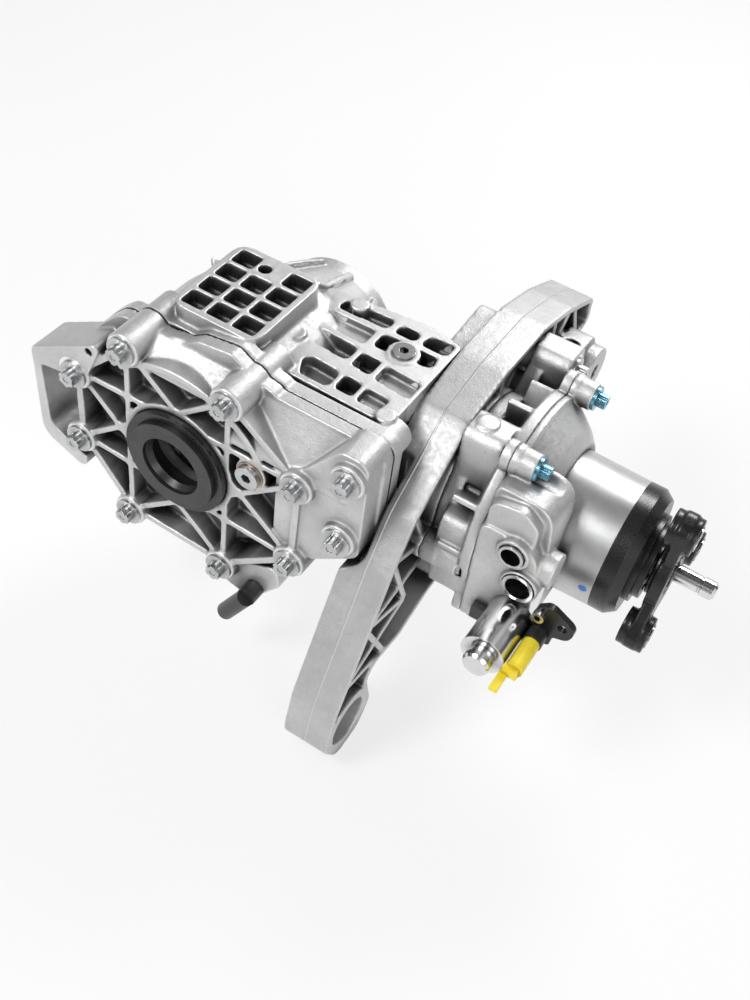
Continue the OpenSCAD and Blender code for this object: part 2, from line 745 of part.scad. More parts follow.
// Outline of the bracket, with an arm down to the left: [y, z, radius]
bracket_outline_points = [[178, 46, 10], [126, 68, 30], [76, 82, 30], [16, 82, 40], [-36, 73, 24],
    [-64, 50, 20],
    [-94, 28, 24], [-118, -8, 30], [-148, -68, 40], [-170, -112, 30], [-178, -150, 18], [-160, -177, 14],
    [-130, -174, 16], [-116, -152, 16], [-130, -104, 12], [-84, -110, 14], [-44, -98, 20], [40, -92, 24],
    [96, -52, 24], [108, -4, 20], [150, 16, 20], [180, 20, 8]];

// Ribs across the hollow front of the bracket, each from [y, z] to [y, z]
bracket_ribs = [
    [[-110, 0], [-56, -22]], [[-110, 0], [-82, -66]], [[-137, -46], [-82, -66]], [[-137, -46], [-62, -36]],
    [[-137, -46], [-104, -106]], [[-160, -94], [-104, -106]], [[-160, -94], [-82, -66]],
    [[-28, 60], [-40, 78]], [[-66, -16], [-90, 32]], [[64, 60], [70, 86]], [[18, 56], [18, 84]],
    [[102, 76], [108, 10]], [[136, 68], [108, 30]], [[136, 68], [160, 20]]];

module bracket_plate() {
    difference() {
        along_x(bracket_x, bracket_end_x) rounded_shape(bracket_outline_points);
        along_x(bracket_floor_x, bracket_end_x + 1) rounded_shape(inset(bracket_outline_points, bracket_rim));
    }
    along_x(bracket_floor_x - 1, bracket_end_x - 1.5) intersection() {
        rounded_shape(inset(bracket_outline_points, 1));
        for (r = bracket_ribs) rib_line(r[0], r[1], rib_t + 0.5);
    }
}

module mounting_bracket() {
    color([0.66, 0.66, 0.66]) difference() {
        union() {
            bracket_plate();
            // Shelf with the upright hole, over the upper boss
            along_x(bracket_end_x, bracket_end_x + 20)
                rounded_shape([[98, 20, 4], [100, 50, 6], [140, 44, 10], [144, 20, 4]]);
            bar_x(upper_boss_place, 40, bracket_x, bracket_end_x + 30);
            bar_x([0, 0], 2 * pilot_r + 26, bracket_x, bracket_end_x);
            for (p = joint_bolt_yz) bar_x(p, joint_ear_d, bracket_x, bracket_end_x);
            bar_x(eye_place, eye_d + 16, bracket_x, bracket_end_x);
        }
        bar_x([0, 0], 2 * pilot_r + 2 * slack, bracket_x - 1, bracket_end_x + 1);
        bar_x(eye_place, eye_d, bracket_x - 1, bracket_end_x + 1);
        bar_z(lug_hole_place, lug_hole_d, 30, 100);
        bar_x(upper_boss_place, lug_hole_d, bracket_x - 1, bracket_end_x + 31);
        // Room for the nose of the side cover and its bolts
        along_y(cover_seat_y - 20, -gasket_y + 28) gasket_outline(-1.5);
        for (p = joint_bolt_yz) bar_x(p, joint_bolt_d + 2 * slack, bracket_x - 1, bracket_end_x + 1);
    }
}

// Torx flange bolt along -X, with its seat at x = 0 and its head in front
module flange_bolt_x(d, flange_d, length) {
    rotate([0, 0, 90]) flange_bolt(d, flange_d, length);
}

module joint_bolts() {
    color(zinc_colour) for (p = joint_bolt_yz)
        translate([joint_seat_x, p[0], p[1]]) flange_bolt_x(joint_bolt_d, joint_flange_d, joint_bolt_l);
}

module valve_block_shape() {
    along_y(valve_face_y, -20) rounded_shape([[split_x, 40, 6], [split_x + 36, 40, 8], [split_x + 44, 26, 10],
        [split_x + 50, -40, 12], [split_x + 28, -56, 12], [split_x, -52, 6]]);
    // Round boss beside the ports
    bar_x([valve_face_y + 14, 16], 26, split_x + 20, split_x + 55);
    // Rounded box over the valve block
    along_y(valve_face_y + 3, -40) rounded_shape([[split_x + 2, 20, 3], [split_x + 2, 60, 9],
        [split_x + 26, 64, 10], [split_x + 38, 54, 9], [split_x + 38, 20, 3]]);
    // Swelling of the dome behind the box
    along_y(valve_face_y + 12, -30) rounded_shape([[split_x, 0, 3], [split_x, 66, 6], [split_x + 42, 66, 16],
        [split_x + 49, 0, 6]]);
    // Foot of the block, below the coil
    along_y(valve_face_y + 8, -30) rounded_shape([[split_x, -40, 4], [split_x + 20, -40, 6],
        [split_x + 18, -68, 10], [split_x, -66, 6]]);
}

// Outline of the joint between the two clutch housings
module split_outline() {
    circle(r = housing_r, $fn = 96);
    for (p = clutch_bolt_yz) {
        rib_line([0, 0], p, clutch_ear_d - 3);
        translate(p) circle(d = clutch_ear_d);
    }
}

// Outline of the rear clutch housing's flange: a disc with an ear at each joint bolt
module flange_outline() {
    circle(r = 62, $fn = 96);
    for (p = joint_bolt_yz) {
        rib_line([0, 0], p, joint_ear_d - 3);
        translate(p) circle(d = joint_ear_d);
    }
}

// Lobe behind the head of a joint bolt
module joint_lobe(p) {
    along_x(bracket_end_x + 0.5, joint_seat_x) rounded_shape([[p[0] - 19, 35, 2], [p[0] - 15, p[1] + 10, 8],
        [p[0] - 9, p[1] + 15, 7], [p[0] + 9, p[1] + 15, 7], [p[0] + 15, p[1] + 10, 8], [p[0] + 19, 35, 2]]);
}

module joint_bolt_room(x0) {
    for (p = joint_bolt_yz) {
        bar_x(p, joint_flange_d + 2, x0, joint_seat_x + 3.5);
        bar_x(p, joint_flange_d - 6, x0, joint_seat_x + bolt_head_h + 1);
    }
}

module clutch_bolt_holes(x0, x1) {
    for (p = clutch_bolt_yz) bar_x(p, clutch_bolt_d + 2 * slack, x0, x1);
}

module clutch_rear_housing() {
    color(cast_colour) difference() {
        union() {
            along_x(bracket_end_x, rear_flange_end_x) flange_outline();
            bar_x([0, 0], 2 * pilot_r, neck_end_x + 0.5, bracket_end_x);
            about_x() polygon([[0, bracket_end_x + 1], [56, bracket_end_x + 1], [58, split_x - 14],
                [housing_r, split_x - 8], [housing_r, split_x], [0, split_x]]);
            along_x(split_x - 7, split_x) split_outline();
            for (p = joint_bolt_yz) bar_x(p, joint_ear_d - 1, rear_flange_end_x, joint_seat_x);
            for (p = [joint_bolt_yz[0], joint_bolt_yz[1]]) joint_lobe(p);
            bar_z(lobe_pad_place, 15, 50, 78);
            for (i = [0:11]) rotate([i * 30, 0, 0]) translate([rear_flange_end_x - 1, 30, -rib_t / 2])
                cube([split_x - rear_flange_end_x - 2, housing_r - 31, rib_t]);
            // Lower left end, towards the valve block
            along_x(rear_flange_end_x - 4, split_x) rounded_shape([[valve_face_y + 4, -44, 10],
                [valve_face_y + 4, 20, 10], [-30, 30, 10], [-10, -50, 10], [-40, -74, 10]]);
        }
        bar_x([0, 0], 60, neck_end_x - 1, bracket_end_x + 2);
        bar_x([0, 0], 30, bracket_end_x, split_x + 1);
        bar_x([0, 0], pinion_seal_d, pinion_seal_x - 9, pinion_seal_x);
        bar_x([0, 0], 2 * clutch_cavity_r, split_x - 5, split_x + 1);
        ring_x(piston_outer_d, piston_inner_d, split_x - 18, split_x);
        for (p = joint_bolt_yz) bar_x(p, joint_bolt_d + 2 * slack, bracket_end_x - 1, joint_seat_x + 1);
        joint_bolt_room(joint_seat_x);
        clutch_bolt_holes(split_x - 8, split_x + 1);
    }
}

module pinion_seal() {
    color([0.20, 0.20, 0.21]) ring_x(pinion_seal_d - slack, 2 * spline_r + 2 * shaft_fit, pinion_seal_x - 8,
        pinion_seal_x);
}

module clutch_front_housing() {
    color(cast_colour) difference() {
        union() {
            along_x(split_x, split_x + 5) split_outline();
            about_x() polygon([[0, split_x], [housing_r, split_x], [housing_r, split_x + 3],
                [housing_r - 3, split_x + 6], [pot_d / 2 + 14, dome_end_x - 7],
                [pot_d / 2 + 8, dome_end_x - 2],
                [pot_d / 2 + 6, dome_end_x], [0, dome_end_x]]);
            for (p = clutch_bolt_yz) bar_x(p, clutch_flange_d + 2, split_x, clutch_seat_x);
            valve_block_shape();
            bar_y(upper_port, upper_sleeve_d + 6, valve_face_y - 4, -40);
            bar_y(lower_port, lower_sleeve_d + 4, valve_face_y - 4, -40);
        }
        bar_x([0, 0], 2 * clutch_cavity_r, split_x - 1, pot_start_x + 1);
        bar_x([0, 0], pot_d + 2 + 2 * slack, pot_start_x, 300);
        clutch_bolt_holes(split_x - 1, clutch_seat_x + 1);
        for (p = clutch_bolt_yz) bar_x(p, clutch_flange_d + 1, clutch_seat_x, clutch_seat_x + 40);
        // Room for the heads of the joint bolts and for the rear housing's walls
        joint_bolt_room(joint_seat_x);
        along_x(200, split_x) square(300, center = true);
        bar_y(upper_port, upper_sleeve_d, valve_face_y - 6, valve_face_y + 14);
        bar_y(upper_port, port_bore, valve_face_y, valve_face_y + 22);
        bar_y(lower_port, lower_sleeve_d, valve_face_y - 6, valve_face_y + 14);
        bar_y(lower_port, big_port_bore, valve_face_y, valve_face_y + 22);
        bar_y(coil_place, coil_stem_d, valve_face_y - 1, valve_face_y + 20);
    }
}

module clutch_bolts() {
    color([0.35, 0.58, 0.72]) for (p = clutch_bolt_yz)
        translate([clutch_seat_x, p[0], p[1]]) flange_bolt_x(clutch_bolt_d, clutch_flange_d,
            clutch_seat_x - split_x + 6.5);
}

module clutch_pot() {
    outer = pot_d / 2;
    color([0.66, 0.67, 0.68]) about_x() polygon([[outer - pot_wall, pot_start_x], [outer + 1, pot_start_x],
        [outer + 1, dome_end_x], [outer, pot_end_x], [outer - pot_wall, pot_end_x]]);
}

module bearing_carrier() {
    outer = pot_d / 2;
    color(black_colour) about_x() polygon([[bearing_bore_r, pot_end_x - 7],
        [outer - pot_wall - slack, pot_end_x - 7],
        [outer - pot_wall - slack, pot_end_x], [outer, pot_end_x], [outer, carrier_end_x - 7],
        [outer - 5, carrier_end_x], [33, carrier_end_x], [33, carrier_end_x + 4], [28, carrier_end_x + 4],
        [28, carrier_end_x + 9], [input_seal_r, carrier_end_x + 9], [input_seal_r, carrier_end_x + 1],
        [input_seal_r - 3, carrier_end_x + 1], [input_seal_r - 3, pot_end_x + input_bearing_w - 3],
        [bearing_bore_r, pot_end_x + input_bearing_w - 3]]);
}

module input_seal() {
    color([0.20, 0.20, 0.21]) ring_x(2 * input_seal_r - 2 * slack, 2 * shaft_r + 2 * slack, carrier_end_x + 1,
        carrier_end_x + 8);
}

module port_sleeves() {
    color(zinc_colour) {
        port_sleeve(upper_port, upper_sleeve_d - 2 * slack, port_bore, valve_face_y - 6);
        port_sleeve(lower_port, lower_sleeve_d - 2 * slack, big_port_bore, valve_face_y - 5);
    }
}

module port_sleeve(at, outer, inner, y0) {
    difference() {
        bar_y(at, outer, y0, valve_face_y + 12);
        bar_y(at, inner, y0 - 1, valve_face_y + 13);
    }
}

module coil() {
    color([0.72, 0.73, 0.75]) union() {
        bar_y(coil_place, coil_d, coil_end_y, valve_face_y);
        bar_y(coil_place, coil_stem_d - 2 * slack, valve_face_y, valve_face_y + 18);
    }
}

module coil_nose() {
    color(zinc_colour) translate([coil_place[0], coil_end_y, coil_place[1]]) rotate([90, 0, 0])
        rotate_extrude()
        polygon([[0, 0], [9, 0], [9, 3], [10, 4], [10, 9], [8.5, 11], [0, 11]]);
}

module clamp_plate() {
    coil_side_x = coil_place[0] + coil_d / 2 + 0.3;
    color(black_colour) difference() {
        along_y(valve_face_y - clamp_t, valve_face_y) rounded_shape([[coil_side_x, -34, 3],
            [coil_side_x, -4, 3],
            [split_x + 62, 4, 6], [split_x + 84, -8, 8], [split_x + 80, -20, 8], [split_x + 69, -24, 3],
            [split_x + 69, -34, 3]]);
        bar_y(clamp_lug_place, 7, valve_face_y - 8, valve_face_y + 3);
        bar_y(clamp_screw_place, clamp_screw_d + 2 * slack, valve_face_y - 8, valve_face_y + 3);
    }
}

module clamp_screw() {
    at = clamp_screw_place;
    head_y = valve_face_y - 2 * clamp_t;
    color(steel_colour) difference() {
        union() {
            bar_y(at, 9, head_y, valve_face_y - clamp_t);
            bar_y(at, clamp_screw_d, valve_face_y - clamp_t, valve_face_y);
        }
        translate([at[0], head_y - 1, at[1]]) rotate([-90, 0, 0]) cylinder(d = 5, h = 4, $fn = 6);
    }
}

module connector() {
    color(black_colour) bar_y(connector_place, 14, connector_end_y, valve_face_y - clamp_t);
}

module connector_cap() {
    at = connector_place;
    color([0.93, 0.86, 0.20]) {
        bar_y(at, 12.5, cap_end_y, connector_end_y);
        // Block at the end of the cap, and its tongue
        translate([at[0] - 7, cap_end_y - 3, at[1] - 6]) cube([11, 4, 9]);
        translate([at[0] - 8, cap_end_y - 18, at[1] - 7]) cube([6, 18, 3.5]);
    }
}

module harness_clip() {
    color(black_colour) translate([split_x + 10, valve_face_y - 6, -46]) cube([10, 6, 12]);
}

// Cone of a tapered bearing along z, with its rollers: narrow end at z = 0
module bearing_cone(bore, outer, w) {
    roller_r = (outer - bore) * 0.11;
    middle_r = (bore + outer) / 4;
    difference() {
        union() {
            cylinder(r = middle_r - roller_r * 0.4, h = w);
            for (i = [0:13]) rotate(i * 360 / 14) translate([middle_r, 0, w / 2]) rotate([0, 12, 0])
                cylinder(r = roller_r, h = w * 0.7, center = true, $fn = 32);
        }
        translate([0, 0, -1]) cylinder(d = bore + shaft_fit, h = w + 2);
    }
}

// Cup of a tapered bearing along z: narrow end at z = 0
module bearing_cup(bore, outer, w) {
    roller_r = (outer - bore) * 0.11;
    middle_r = (bore + outer) / 4 + roller_r / cos(12) + 0.2;
    rise = w / 2 * tan(12);
    rotate_extrude($fn = 96) polygon([[middle_r - rise, 0], [outer / 2 - slack / 2, 0],
        [outer / 2 - slack / 2, w], [middle_r + rise, w]]);
}

module side_bearing_cups() {
    color(steel_colour) {
        translate([0, left_bearing_y, 0]) rotate([90, 0, 0])
            bearing_cup(trunnion_d, side_bearing_d, side_bearing_w);
        translate([0, right_bearing_y, 0]) rotate([-90, 0, 0])
            bearing_cup(trunnion_d, side_bearing_d, side_bearing_w);
    }
}

module case_bearing_cones() {
    color(steel_colour) {
        translate([0, left_bearing_y, 0]) rotate([90, 0, 0])
            bearing_cone(trunnion_d, side_bearing_d, side_bearing_w);
        translate([0, right_bearing_y, 0]) rotate([-90, 0, 0])
            bearing_cone(trunnion_d, side_bearing_d, side_bearing_w);
    }
}

module pinion_bearing_cups() {
    color(steel_colour) {
        translate([rear_bearing[0] + rear_bearing[1], 0, 0]) rotate([0, -90, 0])
            bearing_cup(rear_bearing[2], rear_bearing[3], rear_bearing[1]);
        translate([front_bearing[0], 0, 0]) rotate([0, 90, 0])
            bearing_cup(front_bearing[2], front_bearing[3], front_bearing[1]);
    }
}

module pinion_bearing_cones() {
    color(steel_colour) {
        translate([rear_bearing[0] + rear_bearing[1], 0, 0]) rotate([0, -90, 0])
            bearing_cone(rear_bearing[2], rear_bearing[3], rear_bearing[1]);
        translate([front_bearing[0], 0, 0]) rotate([0, 90, 0])
            bearing_cone(front_bearing[2], front_bearing[3], front_bearing[1]);
    }
}

module ring_gear() {
    root = ring_cone - atan(1.25 * ring_module / ring_reach);
    tip = ring_cone + atan(0.55 * ring_module / ring_reach);
    inner = ring_bore / 2;
    outer = ring_reach * sin(root) + 1;
    color(steel_colour) difference() {
        union() {
            about_y() polygon([[inner, ring_back_y], [outer, ring_back_y], [outer, -outer / tan(root)],
                [inner, -inner / tan(root)]]);
            rotate([90, 0, 0]) bevel_teeth(ring_teeth, 180 / ring_teeth, ring_cone,
                90 / ring_teeth - play_angle(ring_reach, ring_cone), tip, root - 0.6,
                ring_reach - gear_face, ring_reach, ring_turn, 4);
        }
        for (i = [0:ring_bolt_count - 1]) rotate([0, i * 360 / ring_bolt_count, 0])
            bar_y([ring_bolt_r, 0], ring_bolt_d + 2 * slack, ring_back_y - 1, ring_back_y + 14);
    }
}

module ring_gear_bolts() {
    color(zinc_colour) for (i = [0:ring_bolt_count - 1]) rotate([0, i * 360 / ring_bolt_count, 0])
        translate([ring_bolt_r, case_flange_y, 0]) union() {
            rotate([-90, 0, 0]) cylinder(d = ring_bolt_d, h = ring_back_y - case_flange_y + 13);
            rotate([90, 0, 0]) cylinder(d = 18, h = 7, $fn = 6);
        }
}

module differential_case() {
    color([0.35, 0.35, 0.36]) difference() {
        about_y() polygon([[axle_d / 2 + 6, left_bearing_y - side_bearing_w - 1],
            [trunnion_d / 2, left_bearing_y - side_bearing_w - 1], [trunnion_d / 2, left_bearing_y],
            [trunnion_d / 2 + 4, left_bearing_y], [trunnion_d / 2 + 6, case_flange_y - 4],
            [ring_bolt_r - 12, case_flange_y],
            [case_flange_r, case_flange_y], [case_flange_r, ring_back_y],
            [ring_bore / 2 - slack / 2, ring_back_y],
            [ring_bore / 2 - slack / 2, -28], [case_r, -24], [case_r, 26],
            [trunnion_d / 2 + 6, right_bearing_y - 6],
            [trunnion_d / 2 + 4, right_bearing_y], [trunnion_d / 2, right_bearing_y],
            [trunnion_d / 2, right_bearing_y + side_bearing_w + 1],
            [axle_d / 2 + 6, right_bearing_y + side_bearing_w + 1]]);
        bar_y([0, 0], side_pocket_d, -side_back - gear_rest, side_back + gear_rest);
        bar_z([0, 0], spider_pocket_d, -spider_back - gear_rest, spider_back + gear_rest);
        bar_z([0, 0], cross_pin_d + slack, -60, 60);
        // Windows for fitting the gears
        along_x(-60, 60) rounded_shape([[-16, -26, 8], [16, -26, 8], [16, 26, 8], [-16, 26, 8]]);
        for (i = [0:ring_bolt_count - 1]) rotate([0, i * 360 / ring_bolt_count, 0])
            bar_y([ring_bolt_r, 0], ring_bolt_d + 2 * slack, case_flange_y - 1, ring_back_y + 1);
        bar_y([0, 0], side_hub_d + 2 * shaft_fit, left_bearing_y + 6, right_bearing_y - 6);
    }
}

module cross_pin() {
    color(steel_colour) bar_z([0, 0], cross_pin_d, 1 - case_r, case_r - 1);
}

// Differential bevel gear along z with its tip at the origin
module small_bevel(count, first, cone, back, bore, hub_d, hub_end) {
    root = cone - atan(1.15 * side_module / side_reach);
    tip = cone + atan(0.85 * side_module / side_reach);
    inner = side_reach - side_face;
    color(steel_colour) difference() {
        union() {
            rotate_extrude($fn = 72) polygon([[bore / 2 - 1, inner * cos(root)],
                [inner * sin(root), inner * cos(root)],
                [side_reach * sin(root), side_reach * cos(root)], [side_reach * sin(root) + 1, back],
                [bore / 2 - 1, back]]);
            bevel_teeth(count, first, cone, 90 / count - play_angle(side_reach, cone), tip, root - 1,
                inner, side_reach, 0, 1);
            translate([0, 0, back - 1]) cylinder(d = hub_d, h = hub_end - back + 1);
        }
        cylinder(d = bore, h = 100);
    }
}

module side_gear() {
    small_bevel(side_teeth, 90 + 180 / side_teeth, side_cone, side_back, axle_d, side_hub_d, side_hub_end);
}

module left_side_gear() {
    rotate([90, 0, 0]) side_gear();
}

module right_side_gear() {
    rotate([-90, 0, 0]) side_gear();
}

module upper_spider_gear() {
    small_bevel(spider_teeth, 90, spider_cone, spider_back, spider_bore, cross_pin_d + 8, spider_back);
}

module lower_spider_gear() {
    rotate([180, 0, 0]) upper_spider_gear();
}

module pinion() {
    root = pinion_cone - atan(0.8 * ring_module / ring_reach);
    tip = pinion_cone + atan(1.05 * ring_module / ring_reach);
    inner_x = (ring_reach - gear_face) * cos(root);
    outer_x = ring_reach * cos(root);
    nut_x = front_bearing[0] + front_bearing[1];
    color(steel_colour) difference() {
        union() {
            about_x() polygon([[0, inner_x], [inner_x * tan(root), inner_x], [outer_x * tan(root), outer_x],
                [outer_x * tan(root), rear_bearing[0]], [pinion_d / 2, rear_bearing[0]],
                [pinion_d / 2, rear_bearing[0] + rear_bearing[1]],
                [pinion_tail_d / 2, rear_bearing[0] + rear_bearing[1]], [pinion_tail_d / 2, nut_x],
                [pinion_tail_d / 2 - 1, nut_x], [pinion_tail_d / 2 - 1, nut_x + 11],
                [spline_r, nut_x + 11], [spline_r, pinion_end_x], [0, pinion_end_x]]);
            rotate([0, 90, 0]) bevel_teeth(pinion_teeth, -90, pinion_cone,
                90 / pinion_teeth - play_angle(ring_reach, pinion_cone), tip, root - 0.6,
                ring_reach - gear_face, ring_reach, -ring_turn * ring_teeth / pinion_teeth, 4);
        }
        bar_x([0, 0], 6, pinion_end_x - 12, pinion_end_x + 1);
    }
}

module pinion_spacer() {
    color(steel_colour) ring_x(pinion_tail_d + 9, pinion_tail_d + 0.1, rear_bearing[0] + rear_bearing[1],
        front_bearing[0]);
}

module pinion_nut() {
    nut_x = front_bearing[0] + front_bearing[1];
    color(steel_colour) difference() {
        translate([nut_x, 0, 0]) rotate([0, 90, 0]) cylinder(d = 46, h = 10, $fn = 6);
        bar_x([0, 0], pinion_tail_d - 2 + 0.1, nut_x - 1, nut_x + 12);
    }
}

module clutch_hub() {
    hub_x0 = pack_start_x - 3;
    color(steel_colour) difference() {
        union() {
            ring_x(2 * hub_outer_r, 2 * hub_outer_r - 7, hub_x0, pack_end_x + 2);
            ring_x(2 * hub_outer_r - 4, 2 * spline_r + 0.1, hub_x0 + 12, hub_x0 + 18);
            ring_x(2 * spline_r + 9, 2 * spline_r + 0.1, hub_x0, hub_x0 + 34);
        }
        // Grooves for the tabs of the lined plates
        for (i = [0:tab_count - 1]) rotate([i * 360 / tab_count, 0, 0])
            translate([hub_x0 + 1, hub_outer_r - 2, -3.2]) cube([80, 4, 6.4]);
    }
}

module lined_plates() {
    color([0.42, 0.36, 0.30]) for (k = [0:plate_pairs - 1])
        translate([pack_start_x + (2 * k + 1) * plate_pitch, 0, 0]) {
            ring_x(2 * drum_inner_r - 3, 2 * hub_outer_r + 0.6, 0, plate_t);
            for (i = [0:tab_count - 1]) rotate([i * 360 / tab_count, 0, 0])
                translate([0, hub_outer_r - 1.6, -3]) cube([plate_t, 4, 6]);
        }
}

module steel_plates() {
    color(machined_colour) {
        for (k = [0:plate_pairs]) translate([pack_start_x + 2 * k * plate_pitch, 0, 0]) steel_plate(plate_t);
        translate([pack_start_x - 5, 0, 0]) steel_plate(5 - plate_gap);
    }
}

module steel_plate(t) {
    ring_x(2 * drum_inner_r - 0.6, 2 * hub_outer_r + 2, 0, t);
    for (i = [0:tab_count - 1]) rotate([i * 360 / tab_count, 0, 0])
        translate([0, drum_inner_r - 2, -3]) cube([t, 3.6, 6]);
}

module clutch_drum() {
    color(steel_colour) difference() {
        union() {
            ring_x(2 * drum_outer_r, 2 * drum_inner_r, pack_start_x - 4.5, drum_wall_x + 5);
            ring_x(2 * drum_inner_r + 1, 2 * shaft_r + 0.1, drum_wall_x, drum_wall_x + 5);
        }
        for (i = [0:tab_count - 1]) rotate([i * 360 / tab_count, 0, 0])
            translate([0, drum_inner_r - 1, -3.2]) cube([drum_wall_x - 4, 3, 6.4]);
    }
}

module thrust_bearing() {
    color(machined_colour) ring_x(80, 60, split_x - 4, split_x - 1.2);
}

module piston() {
    color(machined_colour) ring_x(piston_outer_d - slack, piston_inner_d + slack, split_x - 14, split_x - 4);
}

module input_shaft() {
    color(steel_colour) difference() {
        union() {
            bar_x([0, 0], 2 * shaft_r, pinion_end_x + 4, carrier_end_x + 10);
            bar_x([0, 0], 2 * spline_r, carrier_end_x + 10, flange_x + 9);
        }
        bar_x([0, 0], pin_d - 2 + 0.1, flange_x - 20, flange_x + 10);
    }
}

module input_bearing_cup() {
    color(steel_colour) ring_x(2 * bearing_bore_r - slack, 2 * bearing_bore_r - 7.4, pot_end_x - 5,
        pot_end_x + input_bearing_w - 5);
}

module input_bearing_cone() {
    ball_r = 4.4;
    middle_r = bearing_bore_r - 3.7 - ball_r - 0.2;
    color(steel_colour) difference() {
        union() {
            bar_x([0, 0], 2 * (middle_r - 1.5), pot_end_x - 5, pot_end_x + input_bearing_w - 5);
            for (i = [0:9]) rotate([i * 36, 0, 0])
                translate([pot_end_x + input_bearing_w / 2 - 5, middle_r, 0])
                sphere(r = ball_r, $fn = 24);
        }
        bar_x([0, 0], 2 * shaft_r + 0.1, pot_end_x - 10, pot_end_x + 30);
    }
}

module input_flange() {
    color(black_colour) difference() {
        union() {
            bar_x([0, 0], 44, carrier_end_x + 10.5, flange_x + flange_t_x);
            bar_x([0, 0], 64, flange_x - 1, flange_x + flange_t_x);
            for (a = arm_angles) rotate([a, 0, 0]) {
                along_x(flange_x, flange_x + flange_t_x) rounded_shape([[0, -20, 4], [arm_r - 4, -15, 6],
                    [arm_r + 14, -11, 10], [arm_r + 14, 11, 10], [arm_r - 4, 15, 6], [0, 20, 4]]);
                bar_x([arm_r, 0], 1.5 * bush_d, flange_x - 6, flange_x + 13);
            }
        }
        bar_x([0, 0], 2 * spline_r + 0.1, carrier_end_x, flange_x + 1);
        bar_x([0, 0], 36, flange_x + 1, flange_x + 20);
        for (a = arm_angles) rotate([a, 0, 0]) bar_x([arm_r, 0], bush_d, flange_x - 10, flange_x + 20);
    }
}

module coupling_bushes() {
    color(steel_colour) for (a = arm_angles) rotate([a, 0, 0]) difference() {
        bar_x([arm_r, 0], bush_d - slack, flange_x - 6, flange_x + 14);
        bar_x([arm_r, 0], bush_bore, flange_x - 10, flange_x + 20);
    }
}

module flange_nut() {
    color(black_colour) difference() {
        translate([flange_x + 1, 0, 0]) rotate([0, 90, 0]) cylinder(d = 33, h = 7, $fn = 6);
        bar_x([0, 0], 2 * spline_r + 0.1, flange_x, flange_x + 20);
    }
}

module centring_pin() {
    color(zinc_colour) about_x() polygon([[0, flange_x - 19], [pin_d / 2 - 1, flange_x - 19],
        [pin_d / 2 - 1, flange_x + 9.5], [pin_d / 2, flange_x + 9.5], [pin_d / 2, pin_end_x - 12],
        [pin_d / 2 - 0.6, pin_end_x - 12], [pin_d / 2 - 0.6, pin_end_x - 10],
        [pin_d / 2 + 0.4, pin_end_x - 10],
        [pin_d / 2 + 0.4, pin_end_x - 2], [pin_d / 2 - 1.6, pin_end_x], [0, pin_end_x]]);
}

main_housing();
side_cover();
cover_gasket();
cover_bolts();
filler_plug();
filler_washer();
breather();
left_seal_carrier();
left_output_seal();
right_output_seal();
deck_plug();
mounting_bracket();
joint_bolts();
clutch_rear_housing();
clutch_front_housing();
clutch_bolts();
clutch_pot();
bearing_carrier();
input_seal();
pinion_seal();
port_sleeves();
coil();
coil_nose();
clamp_plate();
clamp_screw();
connector();
connector_cap();
harness_clip();
side_bearing_cups();
pinion_bearing_cups();
input_bearing_cup();
thrust_bearing();
piston();
ring_gear();
ring_gear_bolts();
differential_case();
cross_pin();
case_bearing_cones();
left_side_gear();
right_side_gear();
upper_spider_gear();
lower_spider_gear();
pinion();
pinion_bearing_cones();
pinion_spacer();
pinion_nut();
clutch_hub();
lined_plates();
clutch_drum();
steel_plates();
input_shaft();
input_bearing_cone();
input_flange();
coupling_bushes();
flange_nut();
centring_pin();
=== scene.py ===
"""Looks of the rear differential: cast surfaces, materials, small details, floor, lights and camera."""
import math
import bpy
from mathutils import Matrix, Vector


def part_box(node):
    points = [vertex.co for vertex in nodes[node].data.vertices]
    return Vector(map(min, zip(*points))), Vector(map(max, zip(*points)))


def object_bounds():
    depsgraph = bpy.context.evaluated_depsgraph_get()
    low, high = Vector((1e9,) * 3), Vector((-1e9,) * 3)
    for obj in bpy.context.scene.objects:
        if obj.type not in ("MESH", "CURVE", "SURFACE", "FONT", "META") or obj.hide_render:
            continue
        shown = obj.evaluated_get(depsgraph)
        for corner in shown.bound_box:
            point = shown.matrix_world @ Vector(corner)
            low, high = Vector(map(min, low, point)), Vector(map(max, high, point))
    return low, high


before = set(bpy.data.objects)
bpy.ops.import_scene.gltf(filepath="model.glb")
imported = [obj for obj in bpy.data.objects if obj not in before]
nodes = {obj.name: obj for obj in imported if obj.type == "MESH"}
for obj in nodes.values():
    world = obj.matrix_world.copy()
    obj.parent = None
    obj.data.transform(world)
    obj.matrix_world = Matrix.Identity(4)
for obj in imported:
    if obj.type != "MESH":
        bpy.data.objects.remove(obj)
cad_box = [list(corner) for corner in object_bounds()]

MM = 0.001
ALONG_X = Vector((1.0, 0.0, 0.0))
ALONG_Y = Vector((0.0, 1.0, 0.0))


# Node tree helpers

